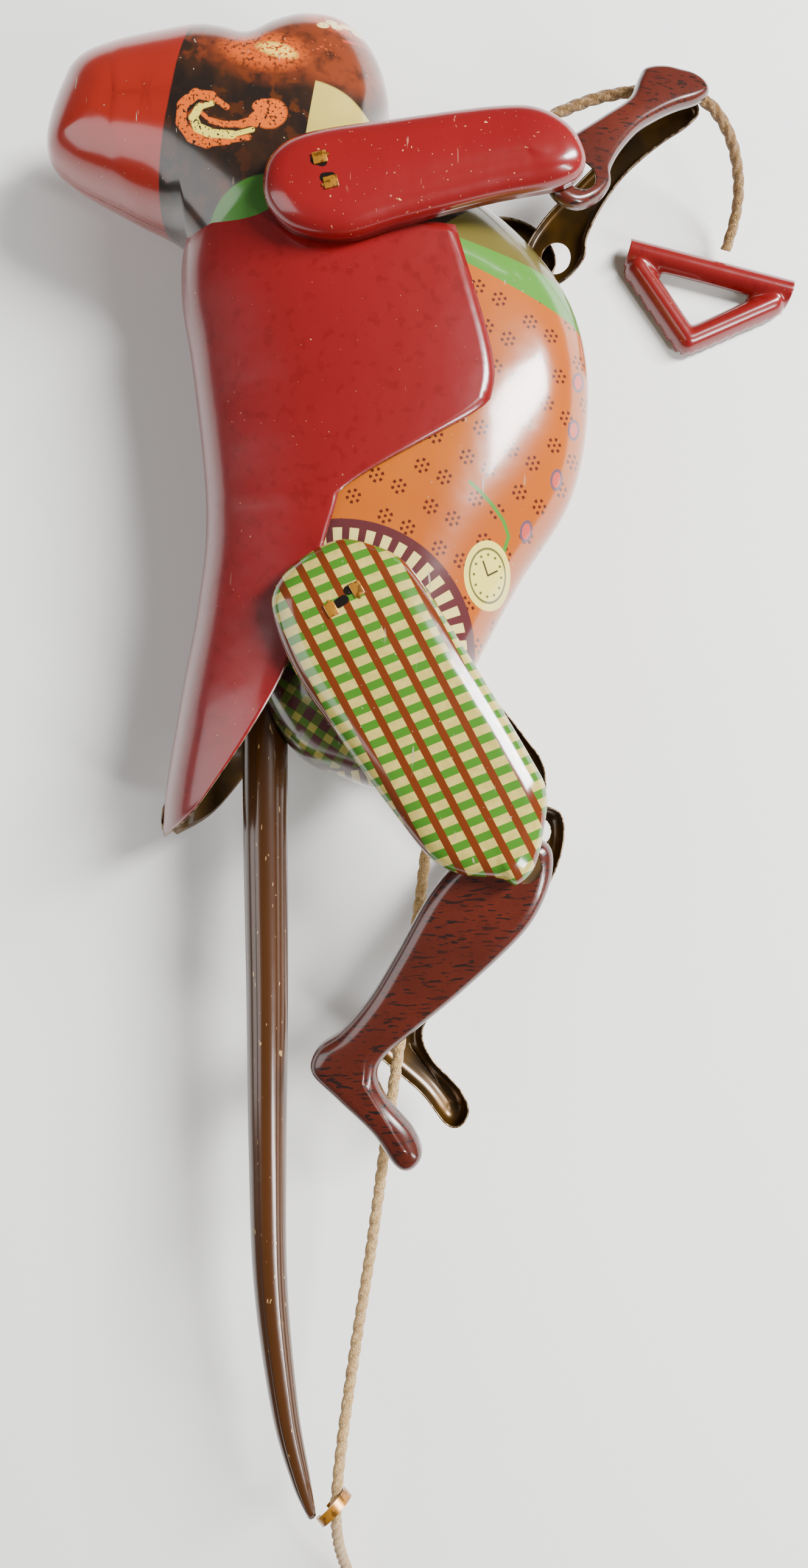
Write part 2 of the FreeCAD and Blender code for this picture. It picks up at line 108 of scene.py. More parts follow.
class Print:
    """A glossy lacquered print on tinplate, built from shapes drawn in millimetres."""

    def __init__(self, name, ground, roughness=0.22, metallic=0.0, coat=0.6):
        self.material = bpy.data.materials.new(name)
        self.material.use_nodes = True
        self.tree = self.material.node_tree
        self.shader = self.tree.nodes["Principled BSDF"]
        self.shader.inputs["Roughness"].default_value = roughness
        self.shader.inputs["Metallic"].default_value = metallic
        self.shader.inputs["Coat Weight"].default_value = coat
        self.shader.inputs["Coat Roughness"].default_value = 0.1
        surface = self.add("TexCoord").node.outputs["Object"]
        self.point = self.add("Mapping", surface, -HIP / MM, None, (1 / MM,) * 3)
        self.colour = linear(ground)

    def add(self, kind, *values, **settings):
        """Add a node of a kind, or of a kind and operation such as Math.ADD, with its inputs in order."""
        kind, _, operation = kind.partition(".")
        node = self.tree.nodes.new(f"ShaderNode{kind}")
        if operation:
            node.operation = operation
        for name, value in settings.items():
            setattr(node, name, value)
        for socket, value in zip(node.inputs, values):
            if isinstance(value, bpy.types.NodeSocket):
                self.tree.links.new(value, socket)
            elif value is not None:
                socket.default_value = value
        return node.outputs[0]

    def split(self, vector):
        return self.add("SeparateXYZ", vector).node.outputs

    def local(self, x, y, turn=0.0, scale=(1, 1)):
        """The point seen from (x, y), turned and scaled, with no height."""
        return self.add("Mapping", self.point, (x, y, 0), (0, 0, math.radians(turn)), (*scale, 1e6),
                        vector_type="TEXTURE")

    def length(self, vector):
        return self.add("VectorMath.LENGTH", vector).node.outputs["Value"]

    def under(self, value, limit, soft=0.12):
        """1 where the value is under the limit, with a soft edge."""
        gap = self.add("Math.SUBTRACT", limit, value)
        return self.add("Math.ADD", self.add("Math.DIVIDE", gap, soft), 0.5, use_clamp=True)

    def ellipse(self, x, y, wide, high, turn=0.0, soft=0.03):
        return self.under(self.length(self.local(x, y, turn, (wide, high))), 1.0, soft)

    def beyond(self, x, y, turn, soft=0.12):
        """1 on the side of a line through (x, y) that the turned x axis points to."""
        return self.under(0.0, self.split(self.local(x, y, turn))[0], soft)

    def stroke(self, points, widths, soft=0.25):
        """A brush stroke along straight runs, each with its own width."""
        runs = []
        for (x0, y0), (x1, y1), width in zip(points, points[1:], widths):
            reach = math.hypot(x1 - x0, y1 - y0)
            u, v, _ = self.split(self.local(x0, y0, math.degrees(math.atan2(y1 - y0, x1 - x0))))
            held = self.add("Math.MAXIMUM", self.add("Math.MINIMUM", u, reach), 0.0)
            away = self.add("CombineXYZ", self.add("Math.SUBTRACT", u, held), v, 0.0)
            runs.append(self.under(self.length(away), width / 2, soft))
        return self.either(*runs)

    def wave(self, value, pitch, width, soft=0.1):
        """Bars of a width, one in every pitch of the value."""
        return self.under(self.add("Math.PINGPONG", value, pitch / 2), width / 2, soft)

    def bars(self, turn, pitch, width):
        """Parallel bars across the turned x axis."""
        return self.wave(self.split(self.local(0, 0, turn))[0], pitch, width)

    def both(self, *masks):
        result = masks[0]
        for mask in masks[1:]:
            result = self.add("Math.MULTIPLY", result, mask)
        return result

    def either(self, *masks):
        result = masks[0]
        for mask in masks[1:]:
            result = self.add("Math.MAXIMUM", result, mask)
        return result

    def outside(self, mask):
        return self.add("Math.SUBTRACT", 1.0, mask)

    def cloud(self, scale, stretch=(1, 1, 1), turn=0.0, detail=2.0):
        stretched = self.add("Mapping", self.point, None, (0, 0, math.radians(turn)), stretch)
        return self.add("TexNoise", stretched, None, scale, detail)

    def speckle(self, scale, level, soft=0.08, stretch=(1, 1, 1), turn=0.0, detail=2.0):
        """Blotches over the surface; higher levels leave more of them."""
        return self.under(self.cloud(scale, stretch, turn, detail), level, soft)

    def paint(self, mask, ink):
        ink = linear(ink) if isinstance(ink, str) else ink
        mix = self.add("Mix", mask, *[None] * 5, self.colour, ink, data_type="RGBA")
        self.colour = mix.node.outputs[2]

    def wear(self, level=0.3, ink="9A8C78"):
        """Fine scratches and rubbed specks down to the metal."""
        scratch = self.speckle(0.9, level, 0.02, (1.0, 0.08, 1.0), 35)
        self.paint(self.both(scratch, self.speckle(0.06, 0.48, 0.1)), ink)
        self.paint(self.speckle(1.1, level - 0.03, 0.02), ink)

    def finish(self, dents=0.12, dent_size=0.05):
        if isinstance(self.colour, bpy.types.NodeSocket):
            self.tree.links.new(self.colour, self.shader.inputs["Base Color"])
        else:
            self.shader.inputs["Base Color"].default_value = self.colour
        bump = self.add("Bump", dents, 0.002, None, self.cloud(dent_size, detail=3.0))
        height = bump.node.inputs["Height"]
        self.tree.links.new(self.cloud(dent_size, detail=3.0), height)
        self.tree.links.new(bump, self.shader.inputs["Normal"])
        return self.material


def inside_lacquer():
    """Transparent bronze lacquer over bare tin, on the inside of every stamping."""
    metal = Print("bronze_lacquered_tin_inside", "54390F", 0.3, 0.6, 0.5)
    metal.paint(metal.speckle(0.12, 0.5, 0.2), "3A270C")
    return metal.finish(0.1)


def raw_edge():
    """The sheared edge of the sheet, bare tin dulled by age."""
    metal = Print("sheared_tinplate_edge", "8C7A60", 0.38, 0.8, 0.0)
    metal.paint(metal.speckle(0.7, 0.48, 0.1), "4E3A28")
    return metal.finish(0.02)


def red_lacquer(name, ink):
    """Thick glossy red enamel, a little uneven, with chips down to the primer."""
    lacquer = Print(name, ink, 0.26, 0.0, 0.5)
    lacquer.paint(lacquer.speckle(0.03, 0.5, 0.4), "741013")
    lacquer.paint(lacquer.speckle(0.4, 0.4, 0.1, detail=6), "6A0C0E")
    lacquer.paint(lacquer.speckle(1.3, 0.235, 0.02), "C08A5A")
    lacquer.wear(0.25, "804838")
    return lacquer.finish(0.3, 0.035)


FLOWER_PITCH = 9.8
NECK_GREEN = (-16, 78, 15, 13.4)
NECK_LEVEL = 88.0


def flowers(art):
    """Clusters of six dots round one, in staggered rows over the vest."""
    rows = []
    for shift in (0.0, FLOWER_PITCH / 2):
        moved = art.split(art.local(shift + 1.3, shift * 0.9 + 0.6, 12))
        u, v = [art.add("Math.SUBTRACT", art.add("Math.FLOORED_MODULO", part, pitch), pitch / 2)
                for part, pitch in zip(moved, (FLOWER_PITCH, FLOWER_PITCH * 0.9))]
        reach = art.length(art.add("CombineXYZ", u, v, 0.0))
        around = art.add("Math.ARCTAN2", v, u)
        ring = art.under(art.add("Math.ABSOLUTE", art.add("Math.SUBTRACT", reach, 1.3)), 0.33, 0.12)
        rows += [art.both(ring, art.wave(around, math.pi / 3, 0.5, 0.12)), art.under(reach, 0.33, 0.12)]
    return art.either(*rows)


def fur_ground(name):
    """Dark brown fur print with red-brown mottling, the ground of both body prints."""
    art = Print(name, "1E1612", 0.2, 0.0, 0.6)
    art.paint(art.speckle(0.16, 0.48, 0.2, (1, 0.6, 1), 20), "2E1C12")
    art.paint(art.both(art.speckle(0.3, 0.44, 0.06, detail=6), art.speckle(0.05, 0.5, 0.2)), "4A2410")
    return art


def head_print(inks):
    """Hat, fur, face, ear and collar, printed on the body shells above the neck."""
    art = fur_ground("litho_printed_head_tin")
    face(art)
    ear(art)
    collar = art.both(art.beyond(-7.7, 104.6, -9.5), art.ellipse(-9, 97, 17.4, 14.6))
    art.paint(collar, "B8A450")
    art.paint(art.ellipse(*NECK_GREEN), "386A20")
    art.paint(art.beyond(-37.0, 110.5, 167.6, 0.3), inks.hat)
    art.wear(0.27)
    return art.finish(0.12, 0.05)


def body_print(inks):
    """Vest, watch and trousers, printed on the body shells below the neck."""
    art = fur_ground("litho_printed_body_tin")
    art.paint(art.ellipse(*NECK_GREEN), "386A20")
    vest(art, inks)
    trousers(art)
    art.wear(0.27)
    return art.finish(0.12, 0.05)


def face(art):
    """Brown-red muzzle with its lips and teeth, and the patch of the eye."""
    muzzle = art.either(art.ellipse(-2, 122, 15, 11.5, -10, 0.35), art.ellipse(-12, 127, 16, 8, 10, 0.4),
                        art.ellipse(-19, 119, 12, 7, -20, 0.6))
    art.paint(art.both(muzzle, art.speckle(0.35, 0.62, 0.3, detail=6)), "6E3018")
    art.paint(art.both(art.ellipse(-30, 122, 8, 6, 0, 0.7), art.speckle(0.5, 0.5, 0.2)), "6A2E18")
    eye = art.ellipse(-17.6, 118.2, 8.4, 4.2, -10, 0.6)
    art.paint(art.both(eye, art.speckle(1.3, 0.56, 0.15)), "C2521A")
    glint = art.ellipse(-14.8, 117.9, 4.2, 1.6, -16, 0.5)
    art.paint(art.both(glint, art.speckle(1.4, 0.56, 0.06)), "E8BE4E")
    art.paint(art.both(art.ellipse(-2.4, 128.2, 7.2, 3.6, -8, 0.5), art.speckle(1.2, 0.58, 0.15)), "B0441C")
    for x, y in ((-5.2, 125.6), (-3.5, 127.2), (-2.2, 126.2), (-0.5, 127.5), (0.9, 128.0), (2.0, 127.0)):
        art.paint(art.both(art.ellipse(x, y, 1.25, 0.85, 15, 0.3), art.speckle(1.5, 0.62, 0.1)), "E4D08A")
    art.paint(art.stroke([(-0.7, 122.6), (1.8, 123.4), (5.2, 124.2)], [0.7, 0.5], 0.4), "A03A24")
    art.paint(art.both(art.ellipse(-4, 120, 3.4, 2.0, 0, 0.3), art.speckle(1.1, 0.36, 0.05)), "B84C22")


def ear(art):
    """The ear: stippled orange strokes that curl round a yellow one."""
    outer = art.stroke([(-25.2, 105.3), (-28.4, 107.6), (-31.8, 108.1), (-34.6, 105.8), (-35.0, 102.4),
                        (-32.8, 99.4), (-29.4, 98.1), (-25, 98.4), (-20.6, 98.9)],
                       [1.2, 2.0, 2.4, 2.2, 2.2, 2.4, 1.8, 1.2])
    inner = art.stroke([(-30.6, 104.2), (-28.8, 102.6), (-25.8, 101.7), (-22.2, 101.7), (-19.2, 102.5),
                        (-17.0, 104.4)], [0.8, 1.2, 1.3, 1.8, 3.0])
    lobe = art.either(art.ellipse(-16.0, 103.8, 3.6, 3.1, 15, 0.15),
                      art.ellipse(-17.6, 105.6, 2.2, 1.3, 10, 0.2))
    grain = art.speckle(1.5, 0.6, 0.1)
    art.paint(art.both(art.either(outer, inner, lobe), grain), "CB5A18")
    shade = art.stroke([(-30.6, 106.0), (-33.2, 103.8), (-32.6, 101.6)], [1.0, 0.8])
    art.paint(art.both(shade, grain), "6A2E18")
    bright = art.stroke([(-28.4, 106.1), (-31.0, 105.3), (-32.3, 103.2), (-31.4, 101.1), (-28.6, 99.9),
                         (-24, 99.5), (-19.8, 100.5)], [1.1, 1.7, 1.9, 2.0, 1.7, 1.0])
    art.paint(art.both(bright, art.speckle(1.7, 0.62, 0.05)), "E2CE52")


def vest(art, inks):
    """Orange vest with dotted flowers, green lapel, buttons and a plain watch on its chain."""
    front = art.beyond(6, 70, -52, 0.2)
    below_lapel = art.beyond(35, 69.3, -113)
    art.paint(front, "4A7E2C")
    # The darker olive band at the top of the front: partly its print, partly painted shade where the front
    # edge rounds away.
    art.paint(art.both(front, art.beyond(31, 77, 75)), "5E5426")
    art.paint(art.both(front, below_lapel), inks.vest)
    art.paint(art.both(front, below_lapel, art.speckle(0.04, 0.5, 0.4)), "A04C10")
    art.paint(art.both(front, below_lapel, flowers(art)), "4A1C10")
    for x, y in ((50.5, 50.6), (49.4, 40), (45.5, 28.8), (38.8, 17.4)):
        art.paint(art.ellipse(x, y, 1.45, 2.3, -12), "5E4650")
        art.paint(art.ellipse(x, y, 0.95, 1.65, -12), "B84A40")
    chain = [(26.2, 26.4), (28.4, 24.6), (31.2, 21.8), (33.6, 18.8), (34.8, 15.8), (33.8, 12.8)]
    art.paint(art.stroke(chain, [0.8] * 5, 0.15), "46782A")
    art.paint(art.ellipse(30.3, 7.4, 5.3, 7.2, 0, 0.02), "D8C860")
    rim = art.length(art.local(30.3, 7.4, 0, (5.3, 7.2)))
    art.paint(art.both(art.under(rim, 0.8, 0.02), art.under(0.73, rim, 0.02)), "5E5A30")
    for step in range(12):
        hour = math.radians(30 * step)
        at = (30.3 + 3.1 * math.sin(hour), 7.4 + 4.3 * math.cos(hour))
        art.paint(art.ellipse(*at, 0.3, 0.3, 0, 0.3), "5E5A30")
    art.paint(art.stroke([(29.2, 10.2), (30.3, 7.4), (32.4, 8.6)], [0.4, 0.4], 0.15), "3A3424")


def trousers(art):
    """Waistband with cream blocks, and the plaid of the trousers seat on a dark ground: partly its print,
    partly painted shade from the near thigh.
    """
    centre = (-1.5, -11.0)
    u, v, _ = art.split(art.local(*centre))
    reach = art.length(art.local(*centre))
    around = art.add("Math.MULTIPLY", art.add("Math.ARCTAN2", v, u), 25.0)
    art.paint(art.under(reach, 29.5, 0.15), "4E2426")
    blocks = art.both(art.under(reach, 27.6, 0.15), art.under(23.8, reach, 0.15),
                      art.wave(around, 3.3, 1.8))
    art.paint(blocks, "D2C070")
    # The seat keeps the dark red-brown ground under its plaid: partly print, partly painted shade from the
    # near thigh.
    seat = art.under(reach, 23.2, 0.15)
    art.paint(art.both(seat, art.bars(-35, 4.2, 1.9)), "4C5A1E")
    art.paint(art.both(seat, art.bars(55, 4.2, 1.6)), "46681E")
    art.paint(art.both(seat, art.bars(-35, 4.2, 1.9), art.bars(55, 4.2, 1.6)), "9A9044")


def tongue_slot(art, at, to):
    """Painted shade of a slot's open gap beside its folded tongue, drawn as a dark stroke on the surface with
    no cut.
    """
    art.paint(art.stroke([at, to], [2.0], 0.2), "120C08")


def sleeve_lacquer(inks):
    lacquer = Print("red_lacquered_sleeve_tin", inks.coat, 0.24, 0.0, 0.5)
    lacquer.paint(lacquer.speckle(0.03, 0.5, 0.4), "7A1214")
    lacquer.paint(lacquer.speckle(1.3, 0.265, 0.02), "D8A46A")
    # Painted shade: the dark gaps of the two slots by the shoulder tongues.
    tongue_slot(lacquer, (-5.9, 89.4), (-4.4, 89.0))
    tongue_slot(lacquer, (-4.0, 85.8), (-2.6, 85.9))
    lacquer.wear(0.27, "A06050")
    return lacquer.finish(0.2, 0.05)


def thigh_print(inks, side_name, turn):
    """Cream ground with short green bars and long rust stripes over them."""
    art = Print(f"litho_checked_trouser_tin_{side_name}", inks.cream, 0.16, 0.0, 0.7)
    art.paint(art.speckle(0.6, 0.5, 0.3, detail=5), "A8984A")
    art.paint(art.bars(turn + 84, 3.7, 1.75), "3A6C1A")
    art.paint(art.bars(turn, 4.95, 1.6), "5E280C")
    # Painted shade: the dark gaps of the two slots by the hip tongues.
    tongue_slot(art, (-1.2, -0.9), (0.0, -0.1))
    tongue_slot(art, (0.8, 1.8), (1.8, 2.4))
    art.wear(0.28)
    return art.finish(0.2, 0.05)


def fur_print(name, turn, inks):
    """Red-brown ground with short dark dashes along the limb."""
    art = Print(name, inks.fur, 0.26, 0.0, 0.5)
    art.paint(art.speckle(0.05, 0.5, 0.4), "521C10")
    art.paint(art.speckle(1.1, 0.4, 0.03, (0.28, 1.5, 1), turn, 1.0), "1A100E")
    art.paint(art.both(art.speckle(2.4, 0.5, 0.4, detail=4), art.speckle(0.2, 0.5, 0.3)), "3E140A")
    return art.finish(0.08)


def tail_lacquer(inks):
    """Brown lacquer on rolled tin, rubbed lighter in streaks along the tube."""
    lacquer = Print("brown_lacquered_rolled_tin", inks.tail, 0.24, 0.1, 0.5)
    lacquer.paint(lacquer.speckle(0.06, 0.5, 0.4, (1, 0.2, 1)), "3E220A")
    lacquer.paint(lacquer.speckle(1.1, 0.29, 0.03, (1, 0.3, 1)), "A88658")
    return lacquer.finish(0.1)


def jute(inks):
    """Dull plied jute, browner and more handled at the head end."""
    fibre = Print("twisted_jute_string", inks.twine, 0.85, 0.0, 0.0)
    fibre.paint(fibre.speckle(0.9, 0.5, 0.3, detail=8), "94703A")
    fibre.paint(fibre.speckle(3.5, 0.4, 0.1), "D0B88A")
    head_end = fibre.under(90.0, fibre.split(fibre.point)[1], 60.0)
    fibre.paint(fibre.both(head_end, fibre.speckle(1.2, 0.65, 0.3)), "6A4818")
    fibre.shader.inputs["Sheen Weight"].default_value = 0.3
    return fibre.finish(0.5, 2.5)


def bronze_tab():
    """Bronze-lacquered steel, with darker blotches."""
    metal = Print("bronze_lacquered_steel_tab", "A8701E", 0.3, 0.5, 0.4)
    metal.paint(metal.speckle(0.8, 0.42, 0.1), "6E4612")
    return metal.finish(0.05)


def bare_steel():
    """Drawn steel, grey with darker streaks."""
    metal = Print("bright_drawn_steel", "8E8E8A", 0.35, 1.0, 0.0)
    metal.paint(metal.speckle(0.9, 0.42, 0.2), "5E5C58")
    return metal.finish(0.03)


MATERIALS = {}


def make_materials(inks):
    MATERIALS.update(
        inside=inside_lacquer(), edge=raw_edge(), body=body_print(inks), head=head_print(inks),
        sleeve=sleeve_lacquer(inks),
        coat=red_lacquer("red_lacquered_coat_tin", inks.coat),
        handle=red_lacquer("red_lacquered_handle_tin", "701410"),
        thigh_right=thigh_print(inks, "right", 28), thigh_left=thigh_print(inks, "left", 36),
        shin=fur_print("litho_fur_shin_tin", -52, inks),
        forearm=fur_print("litho_fur_forearm_tin", -43, inks),
        tail=tail_lacquer(inks), jute=jute(inks), tab=bronze_tab(), steel=bare_steel())


# ------------------------------------------------------------------ curves and meshes

def rounded_run(p0, p1, p2, p3, steps):
    """A Catmull-Rom run from p1 towards p2, without its last point."""
    run = []
    for step in range(steps):
        t = step / steps
        run.append(0.5 * ((2 * p1) + (p2 - p0) * t + (2 * p0 - 5 * p1 + 4 * p2 - p3) * t * t
                          + (3 * p1 - p0 - 3 * p2 + p3) * t ** 3))
    return run


def smooth_loop(points, count):
    """A closed curve through the points, evenly spaced."""
    dense = []
    for i in range(len(points)):
        around = [Vector(points[(i + k) % len(points)]) for k in (-1, 0, 1, 2)]
        dense += rounded_run(*around, 24)
    return even(dense + dense[:1], count, closed=True)


def open_curve(points):
    """An open curve through the points."""
    padded = [Vector(p) for p in (points[0], *points, points[-1])]
    dense = []
    for i in range(1, len(padded) - 2):
        dense += rounded_run(*padded[i - 1:i + 3], 20)
    return dense + [padded[-1]]


def even(points, count, closed=False):
    """The same polyline with evenly spaced points."""
    lengths = [0.0]
    for a, b in zip(points, points[1:]):
        lengths.append(lengths[-1] + (b - a).length)
    total = lengths[-1]
    result = []
    j = 0
    steps = count if closed else count - 1
    for i in range(count):
        want = total * i / steps
        while j < len(lengths) - 2 and lengths[j + 1] < want:
            j += 1
        span = lengths[j + 1] - lengths[j] or 1.0
        result.append(points[j].lerp(points[j + 1], (want - lengths[j]) / span))
    return result


def nearest_on(spine, point):
    """The nearest point on a polyline."""
    best = None
    for a, b in zip(spine, spine[1:]):
        a, b = Vector(a), Vector(b)
        t = max(0.0, min(1.0, (point - a).dot(b - a) / (b - a).length_squared))
        foot = a.lerp(b, t)
        if best is None or (point - foot).length < (point - best).length:
            best = foot
    return best


def new_piece(name, vertices, faces):
    mesh = bpy.data.meshes.new(name)
    mesh.from_pydata(vertices, [], faces)
    obj = bpy.data.objects.new(name, mesh)
    bpy.context.collection.objects.link(obj)
    return obj


@contextmanager
def editing(obj):
    """The piece's mesh, open for changes."""
    mesh = bmesh.new()
    mesh.from_mesh(obj.data)
    yield mesh
    mesh.to_mesh(obj.data)
    mesh.free()


def grid_faces(rows, columns, closed):
    """Four-sided faces between rows of points; a closed row joins its last point to its first."""
    faces = []
    for r in range(rows - 1):
        for i in range(columns if closed else columns - 1):
            j = (i + 1) % columns
            faces.append((r * columns + i, r * columns + j, (r + 1) * columns + j, (r + 1) * columns + i))
    return faces


def ring_mesh(name, rings, cap=True):
    """A mesh skinned over closed rings of the same count, capped at the last ring."""
    count = len(rings[0])
    faces = grid_faces(len(rings), count, closed=True)
    if cap:
        last = (len(rings) - 1) * count
        faces.append(tuple(range(last, last + count)))
    return new_piece(name, [v for ring in rings for v in ring], faces)


def outward(obj, side_sign):
    """Faces turned away from the middle plane, shaded smooth."""
    with editing(obj) as mesh:
        total = sum(face.normal.z * face.calc_area() for face in mesh.faces)
        if total * side_sign < 0:
            bmesh.ops.reverse_faces(mesh, faces=mesh.faces)
    obj.data.shade_smooth()


def sheet_metal(obj, outer, wall, side_sign):
    """Give a pressed surface its thickness, inside lacquer and bare edge, as a plain mesh."""
    outward(obj, side_sign)
    for key in (outer, "inside", "edge"):
        obj.data.materials.append(MATERIALS[key])
    solidify = obj.modifiers.new("Tin thickness", "SOLIDIFY")
    solidify.thickness = wall
    solidify.offset = -1.0
    solidify.material_offset = 1
    solidify.material_offset_rim = 2
    apply_modifiers(obj)


def apply_modifiers(obj):
    bpy.context.view_layer.update()
    evaluated = obj.evaluated_get(bpy.context.evaluated_depsgraph_get())
    mesh = bpy.data.meshes.new_from_object(evaluated)
    mesh.name = obj.name
    obj.modifiers.clear()
    obj.data = mesh


# ------------------------------------------------------------------ domed shells

BODY_OUTLINE = [
    (-68.6, 106), (-64, 99.5), (-50, 92), (-38, 85), (-32.5, 72), (-30.5, 50), (-28.5, 25), (-25, 0),
    (-20, -18), (-12, -31), (-2, -36), (8, -38.6), (19, -32), (27, -14), (38, 7), (50.4, 27.5), (54, 50),
    (51, 68), (42, 82), (29, 93), (16, 100), (8.5, 108), (8.7, 117), (6, 126), (0, 132.4), (-8, 134),
    (-15.5, 132.3), (-22, 129.4), (-28, 130.8), (-36, 131), (-58.5, 126.6), (-65.5, 118),
]
BODY_SPINE = [(-50, 110), (-20, 109), (2, 76), (14, 44), (2, -6)]
COAT_ENVELOPE = [
    (-35.6, 90), (-38.3, 74), (-35.8, 56), (-32.6, 24), (-34.5, 2), (-38.2, -18.5), (-42.3, -49),
    (-36, -62), (-10, -56), (24, -42), (46, -12), (62, 22), (66, 50), (60, 84), (36, 108), (0, 116),
    (-24, 108),
]
COAT_SPINE = [(2, 78), (8, 44), (0, 4), (-10, -26)]
COAT_BACK = [(-35.5, 86.4), (-38.3, 74), (-35.8, 56), (-32.6, 24), (-34.5, 2), (-38.2, -18.5), (-42.2, -48)]
COAT_FRONT = [(23.0, 80.3), (30.2, 56.3), (31.0, 46.0), (26.5, 40.5), (1.5, 26.2), (-3, 18.6),
              (-12.8, -13.3), (-31, -41), (-41.2, -49.2)]
DOME_ROUND = 2.3


def dome_height(point, outline, spine, depth):
    """How far the dome stands over a point of its plan."""
    foot = nearest_on(spine, point)
    ray = point - foot
    reach = ray.length
    if reach < 1e-6:
        return depth
    direction = ray / reach
    edge = None
    for a, b in zip(outline, outline[1:] + outline[:1]):
        span = b - a
        cross = direction.x * span.y - direction.y * span.x
        if abs(cross) < 1e-9:
            continue
        gap = a - foot
        t = (gap.x * span.y - gap.y * span.x) / cross
        u = (gap.x * direction.y - gap.y * direction.x) / cross
        if t > 0 and 0 <= u <= 1 and (edge is None or t < edge):
            edge = t
    share = min(1.0, reach / edge) if edge else 1.0
    return depth * max(0.0, 1 - share ** DOME_ROUND) ** (1 / DOME_ROUND)


def body_shell(side_name, settings):
    """One half of the hat, head, torso and seat."""
    sign = SIDES[side_name]
    outline = smooth_loop(BODY_OUTLINE, 300)
    feet = [nearest_on(BODY_SPINE, p) for p in outline]
    depth = settings.body_depth / MM
    stations = even([Vector(p) for p in BODY_SPINE], 22)
    ridge = [min(stations, key=lambda station: (station - foot).length) for foot in feet]
    rings = []
    for step in range(33):
        level = math.sin(math.radians(90) * step / 32)
        scale = max(0.0, 1 - level ** DOME_ROUND) ** (1 / DOME_ROUND)
        ring = []
        for p, foot, station in zip(outline, feet, ridge):
            q = station.lerp(foot.lerp(p, scale), min(1.0, 4 * scale))
            ring.append(place(q.x, q.y, sign * depth * level * shallow(q)))
        rings.append(ring)
    obj = ring_mesh(f"body_shell_{side_name}", rings, cap=False)
    weld(obj)
    smooth_crease(obj, 8)
    sheet_metal(obj, "body", settings.wall, sign)
    obj.data.materials.append(MATERIALS["head"])
    for face_polygon in obj.data.polygons:
        if face_polygon.material_index == 0 and face_polygon.center.y > place(0, NECK_LEVEL).y:
            face_polygon.material_index = 3
    return obj


def weld(obj):
    """Join the points that meet along the ridge, and close the gap that its bends leave."""
    with editing(obj) as mesh:
        bmesh.ops.remove_doubles(mesh, verts=mesh.verts, dist=0.00002)
        gaps = [e for e in mesh.edges
                if e.is_boundary and all(abs(v.co.z - HIP.z) > 0.002 for v in e.verts)]
        filled = bmesh.ops.holes_fill(mesh, edges=gaps, sides=0)
        bmesh.ops.triangulate(mesh, faces=filled["faces"])


def shallow(point):
    """The hat tapers in depth towards its crown."""
    crown = max(0.0, min(1.0, (-34 - point.x) / 34))
    return 1.0 - 0.34 * crown


def smooth_crease(obj, rounds):
    """Soften the ridges that the spine's corners leave, without moving the seam edge."""
    with editing(obj) as mesh:
        inner = [v for v in mesh.verts if not v.is_boundary]
        for _ in range(rounds):
            bmesh.ops.smooth_vert(mesh, verts=inner, factor=0.5,
                                  use_axis_x=False, use_axis_y=False, use_axis_z=True)


def coat_half(side_name, settings):
    """One half of the tail coat, from the back seam to its free front edge."""
    sign = SIDES[side_name]
    envelope = smooth_loop(COAT_ENVELOPE, 160)
    back = even(open_curve(COAT_BACK), 90)
    front = even(open_curve(COAT_FRONT), 90)
    depth = settings.body_depth / MM + 1.1
    vertices = []
    across = 40
    for a, b in zip(back, front):
        for step in range(across + 1):
            share = (step / across) ** 1.6
            p = a.lerp(b, share)
            vertices.append(place(p.x, p.y, sign * dome_height(p, envelope, COAT_SPINE, depth)))
    obj = new_piece(f"coat_{side_name}", vertices, grid_faces(len(back), across + 1, closed=False))
    smooth_crease(obj, 12)
    sheet_metal(obj, "coat", settings.wall, sign)
    return obj


# ------------------------------------------------------------------ limbs

SLEEVE_OUTLINE = [
    (-17, 87.5), (-14.5, 93.3), (-7, 97.2), (10, 99.8), (31, 102.5), (40.5, 102), (47.3, 97.5), (49.8, 91),
    (45.5, 86.7), (31, 83.8), (12, 79), (0, 75.6), (-10, 77), (-15.6, 81.6),
]
SLEEVE_SPINE = [(-4.5, 87), (37, 93)]
THIGH_OUTLINE = [
    (-14.8, -3), (-14.3, 3.5), (-9, 9.2), (-1.4, 13), (5.5, 12), (12, 8.8), (18, 1), (28.7, -15.8),
    (38.4, -32), (41.7, -39), (41.2, -47), (39.4, -54.5), (35.7, -58.6), (32.2, -57.2), (24, -56.3),
    (17.5, -52.8), (10, -43.5), (0, -29.8), (-9.8, -15.5),
]
THIGH_SPINE = [(-1, -1), (28, -43)]
FOREARM_OUTLINE = [
    (-7.2, 0), (-5, -4.5), (0, -6), (5, -5.3), (8.2, -2.6), (14.2, -0.4), (22, 0.9), (28.4, 0.6),
    (34.3, -0.4), (39.8, -1.9), (43.8, -1.9), (44.9, 0.8), (43.4, 4.6), (39, 9), (35, 11), (32.4, 10.3),
    (25.8, 7.7), (15.9, 7.9), (4, 8.2), (-4.5, 6),
]
FOREARM_SPINE = [(0, 1), (15, 3.7), (30, 4.6), (39, 3.5)]
SHIN_OUTLINE = [
    (4.5, 4.6), (6, -0.8), (3.8, -8.6), (-1, -16), (-12.5, -27.4), (-23.5, -37), (-30, -42.8),
    (-31.8, -47.5), (-29.5, -53), (-24, -59.5), (-22, -65), (-24.5, -68.5), (-28, -67.5), (-33, -60.3),
    (-41, -52.5),
    (-46.3, -46.8), (-45, -41.5), (-39.5, -37.3), (-33.3, -29.8), (-27.5, -20), (-20, -6.5), (-13, 1.2),
    (-4, 6),
]
SHIN_SPINE = [(-3, -2), (-14, -16), (-30, -37), (-37, -45), (-26, -63)]


